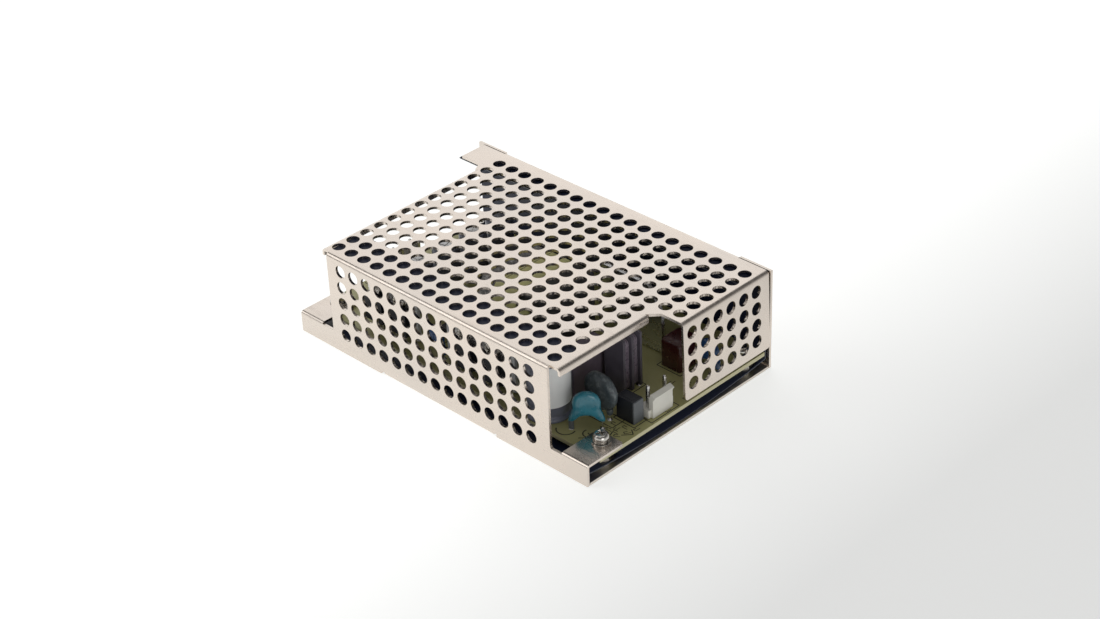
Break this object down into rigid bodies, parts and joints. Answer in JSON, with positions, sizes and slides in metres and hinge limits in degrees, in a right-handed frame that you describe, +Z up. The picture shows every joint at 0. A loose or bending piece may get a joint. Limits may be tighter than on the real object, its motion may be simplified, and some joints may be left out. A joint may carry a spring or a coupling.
{
  "type": "power supply",
  "caption": "Enclosed switch-mode power supply: circuit board with capacitors, chokes, transformer and heatsinks on a flat base under a folded, perforated sheet-metal cover.",
  "frame": {"origin": "middle of the flat underside", "axes": "+X along the unit towards the mains end with its open connector bay, +Z up from the base plate to the perforated top, -Y towards the perforated side wall"},
  "size_m": [0.1377, 0.0896, 0.0384],
  "materials": {
    "cover_sheet": "bare bright sheet, pierced, satin",
    "base_sheet": "bare bright sheet, satin",
    "black_film": "smooth film",
    "board": "glass-epoxy laminate, yellow-green",
    "plated_hardware": "bright plated",
    "white_header": "moulded, satin",
    "contact_pin": "tinned",
    "fuse_case": "moulded, satin",
    "teal_coating": "dipped, gloss",
    "varistor_coating": "dipped, satin",
    "brown_case": "cast case, satin",
    "choke_case": "ferrite and wire in a moulded frame",
    "red_coating": "dipped, gloss",
    "blue_coating": "dipped, gloss",
    "sleeve_slate": "heat-shrunk sleeve",
    "bare_aluminium": "sheared and stamped, satin",
    "black_package": "moulded package",
    "ferrite": "sintered, matte",
    "yellow_tape": "taped winding",
    "copper_winding": "enamelled wire between ferrite flanges"
  },
  "bodies": {
    "root": {"perforated_cover": "cover_sheet", "base_plate": "base_sheet", "insulating_film": "black_film", "top_film_strip": "black_film", "circuit_board": "board", "threaded_posts": "plated_hardware", "flat_washers": "plated_hardware", "spring_washers": "plated_hardware", "corner_screws": "plated_hardware", "mains_header_housing": "white_header", "mains_header_pins": "contact_pin", "mains_fuse": "fuse_case", "safety_disc_capacitor": "teal_coating", "surge_varistor": "varistor_coating", "line_filter_capacitor": "brown_case", "common_mode_choke": "choke_case", "snubber_film_capacitor": "red_coating", "class_y_capacitor_1": "blue_coating", "class_y_capacitor_2": "blue_coating", "bulk_capacitor": "sleeve_slate", "primary_heatsink": "bare_aluminium", "secondary_heatsink": "bare_aluminium", "switching_transistor": "black_package", "boost_transistor": "black_package", "output_rectifier_1": "black_package", "output_rectifier_2": "black_package", "transistor_screws": "plated_hardware", "transistor_nuts": "plated_hardware", "bridge_heatsink": "bare_aluminium", "bridge_rectifier": "black_package", "transformer_core": "ferrite", "transformer_winding": "yellow_tape", "controller_chip": "black_package", "feedback_coupler": "black_package", "output_choke": "copper_winding", "output_capacitor_1": "sleeve_slate", "output_capacitor_2": "sleeve_slate", "output_capacitor_3": "sleeve_slate", "output_capacitor_4": "sleeve_slate", "output_header_housing": "white_header", "output_header_pins": "contact_pin"}
  },
  "joints": []
}
